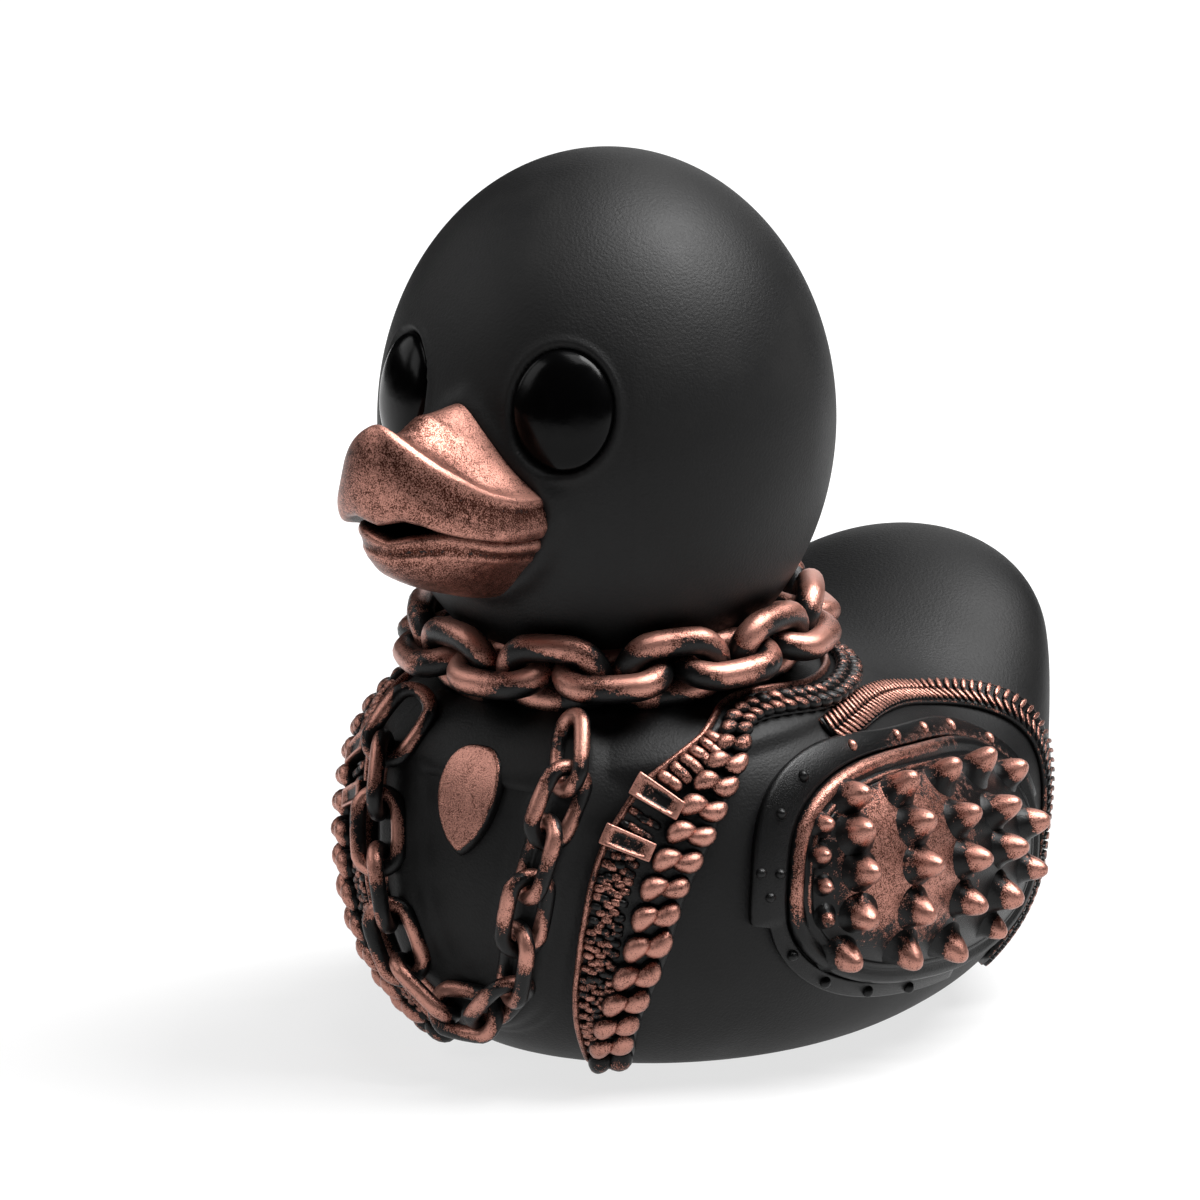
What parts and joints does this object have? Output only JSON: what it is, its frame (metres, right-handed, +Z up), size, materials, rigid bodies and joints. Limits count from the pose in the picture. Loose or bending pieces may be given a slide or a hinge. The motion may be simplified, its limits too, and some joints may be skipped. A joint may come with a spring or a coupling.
{
  "type": "duck figurine",
  "caption": "Rigid duck ornament in matt black and drybrushed copper, with neck and chest chains, jacket lapels with zips, and studded oval wing pads",
  "frame": {"origin": "on the flat of the underside, in the middle of the duck's width, under the front of the wings", "axes": "+X to the duck's left, +Y to the tail, +Z up; the bill points along -Y"},
  "size_m": [0.07, 0.0971, 0.0888],
  "materials": {
    "black_paint": "matt black paint with a fine grain",
    "copper_paint": "antique copper paint drybrushed over black",
    "eye_gloss": "high gloss lacquer"
  },
  "bodies": {
    "root": {"body_shell": "black_paint", "head_shell": "black_paint", "base_plug": "black_paint", "left_eye": "eye_gloss", "right_eye": "eye_gloss", "upper_beak": "copper_paint", "lower_beak": "copper_paint", "chest_plate": "copper_paint", "neck_link_01": "copper_paint", "neck_link_02": "copper_paint", "neck_link_03": "copper_paint", "neck_link_04": "copper_paint", "neck_link_05": "copper_paint", "neck_link_06": "copper_paint", "neck_link_07": "copper_paint", "neck_link_08": "copper_paint", "neck_link_09": "copper_paint", "neck_link_10": "copper_paint", "neck_link_11": "copper_paint", "neck_link_12": "copper_paint", "neck_link_13": "copper_paint", "neck_link_14": "copper_paint", "neck_link_15": "copper_paint", "neck_link_16": "copper_paint", "neck_link_17": "copper_paint", "neck_link_18": "copper_paint", "neck_link_19": "copper_paint", "neck_link_20": "copper_paint", "chest_link_01": "copper_paint", "chest_link_02": "copper_paint", "chest_link_03": "copper_paint", "chest_link_04": "copper_paint", "chest_link_05": "copper_paint", "chest_link_06": "copper_paint", "chest_link_07": "copper_paint", "chest_link_08": "copper_paint", "chest_link_09": "copper_paint", "chest_link_10": "copper_paint", "chest_link_11": "copper_paint", "chest_link_12": "copper_paint", "chest_link_13": "copper_paint", "left_lapel": "black_paint", "right_lapel": "black_paint", "left_zip": "copper_paint", "right_zip": "copper_paint", "left_zip_keeper_upper": "copper_paint", "right_zip_keeper_upper": "copper_paint", "left_zip_keeper_lower": "copper_paint", "right_zip_keeper_lower": "copper_paint", "left_curb_chain": "copper_paint", "right_curb_chain": "copper_paint", "left_snake_chain": "copper_paint", "right_snake_chain": "copper_paint", "left_wing_strap": "black_paint", "right_wing_strap": "black_paint", "left_wing_pad": "black_paint", "right_wing_pad": "black_paint", "left_stud_plate": "copper_paint", "right_stud_plate": "copper_paint"}
  },
  "joints": []
}
